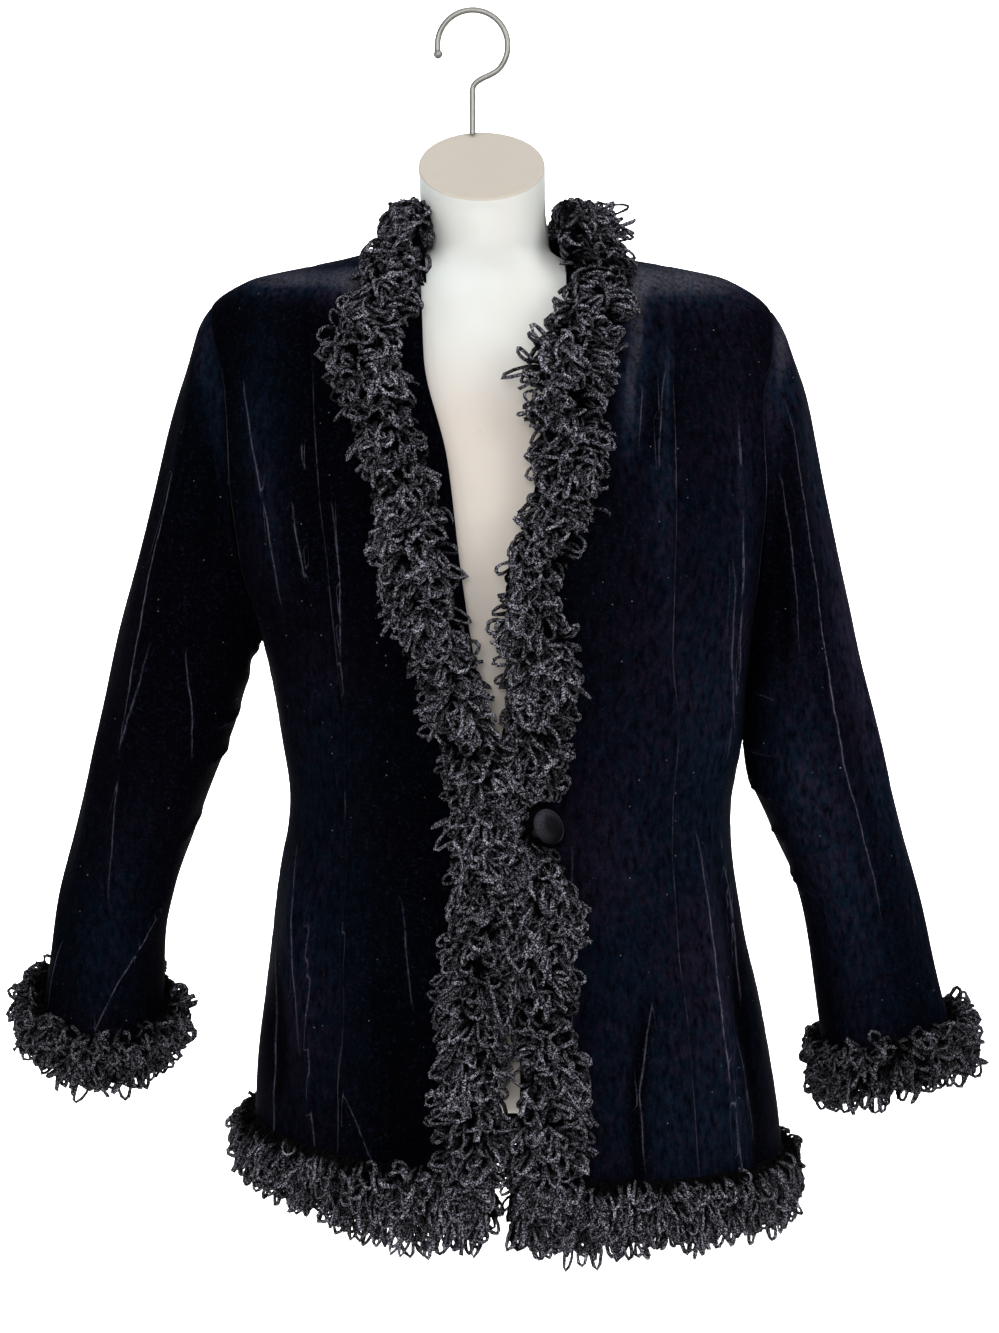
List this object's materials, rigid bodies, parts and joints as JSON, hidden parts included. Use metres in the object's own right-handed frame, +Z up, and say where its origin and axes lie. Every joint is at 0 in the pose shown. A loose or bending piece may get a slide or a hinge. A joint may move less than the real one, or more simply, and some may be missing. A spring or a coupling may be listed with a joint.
{
  "type": "loop-trimmed velvet blazer on a hanging torso form",
  "caption": "Fitted hip-length black velvet blazer with looped-yarn trim on collar, front edges, hem and cuffs, worn on a smooth limbless torso form that hangs from a wire hook.",
  "frame": {"origin": "inside crown of the hook, where a rail or peg carries it", "axes": "+Z up, front faces -Y, the wearer's left side is +X"},
  "size_m": [0.7272, 0.3154, 0.8959],
  "materials": {
    "velvet": "black velvet pile",
    "yarn": "black and charcoal boucle yarn loops",
    "plastic": "smooth satin white",
    "steel": "drawn wire"
  },
  "bodies": {
    "root": {"front_centre_right": "velvet", "front_centre_left": "velvet", "front_side_right": "velvet", "front_side_left": "velvet", "back_right": "velvet", "back_left": "velvet", "sleeve_right": "velvet", "sleeve_left": "velvet", "collar": "velvet", "button": "velvet", "trim_front_right": "yarn", "trim_front_left": "yarn", "trim_collar": "yarn", "trim_hem": "yarn", "trim_cuff_right": "yarn", "trim_cuff_left": "yarn", "torso_form": "plastic", "hook": "steel"}
  },
  "joints": []
}
